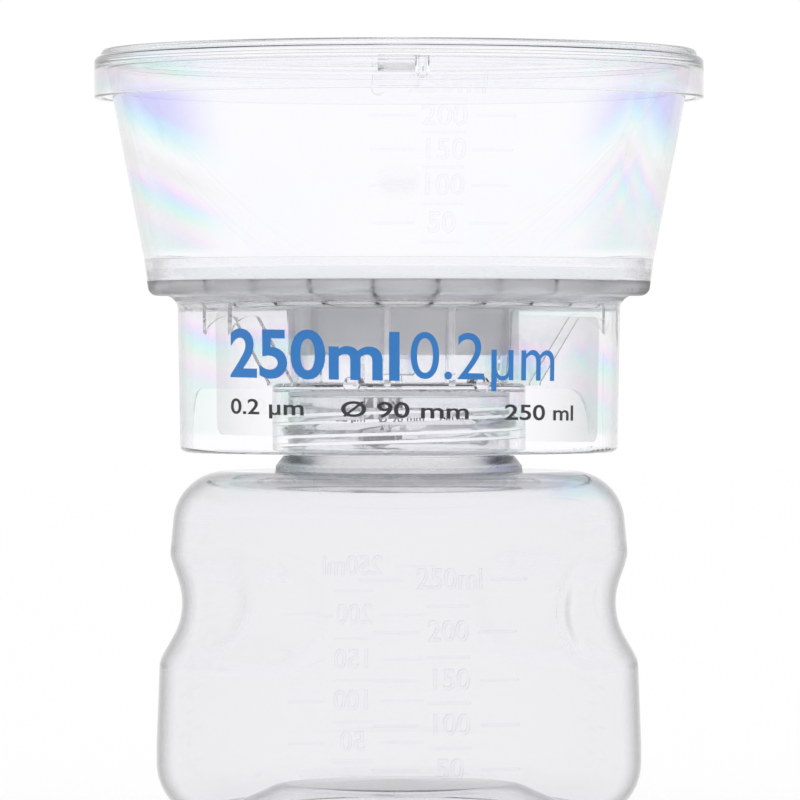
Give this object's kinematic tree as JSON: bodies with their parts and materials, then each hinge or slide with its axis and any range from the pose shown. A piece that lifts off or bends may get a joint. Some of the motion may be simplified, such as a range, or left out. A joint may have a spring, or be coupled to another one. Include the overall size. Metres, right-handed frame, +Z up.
{
  "type": "vacuum filtration unit",
  "caption": "Clear lidded funnel on a membrane filter base that screws onto a gripped receiver bottle, with a barbed vacuum port at the back.",
  "frame": {"origin": "middle of the bottle's standing ring, on the surface that it stands on", "axes": "+Z up the bottle's axis, -Y towards the front of the filter base, +Y along the hose port"},
  "size_m": [0.1148, 0.1148, 0.1452],
  "materials": {
    "clear_bottle": "clear blow-moulded copolyester, glossy",
    "clear_styrene": "clear injection-moulded polystyrene, polished",
    "natural_plastic": "natural polypropylene, satin",
    "silicone": "translucent silicone, satin",
    "membrane_white": "white microporous film, matte",
    "fibre": "white fibre",
    "label_clear": "clear printed film"
  },
  "bodies": {
    "bottle": {"receiver_bottle": "clear_bottle"},
    "seal": {"neck_gasket": "silicone"},
    "head": {"filter_base": "clear_styrene", "fibre_plug": "fibre", "hose_adapter": "natural_plastic", "membrane": "membrane_white", "funnel": "clear_styrene", "lid": "clear_styrene", "label_film": "label_clear"}
  },
  "joints": [
    {"name": "head_lift", "type": "slide", "parent": "bottle", "child": "seal", "axis": [0, 0, 1], "range_m": [0, 0.008]},
    {"name": "head_turn", "type": "hinge", "parent": "seal", "child": "head", "pos_m": [0, 0, 0.08], "axis": [0, 0, 1], "range_deg": [0, 720]}
  ],
  "couplings": [
    {"joint": "head_lift", "follows": "head_turn", "m_per_rad": 0.00063661}
  ]
}
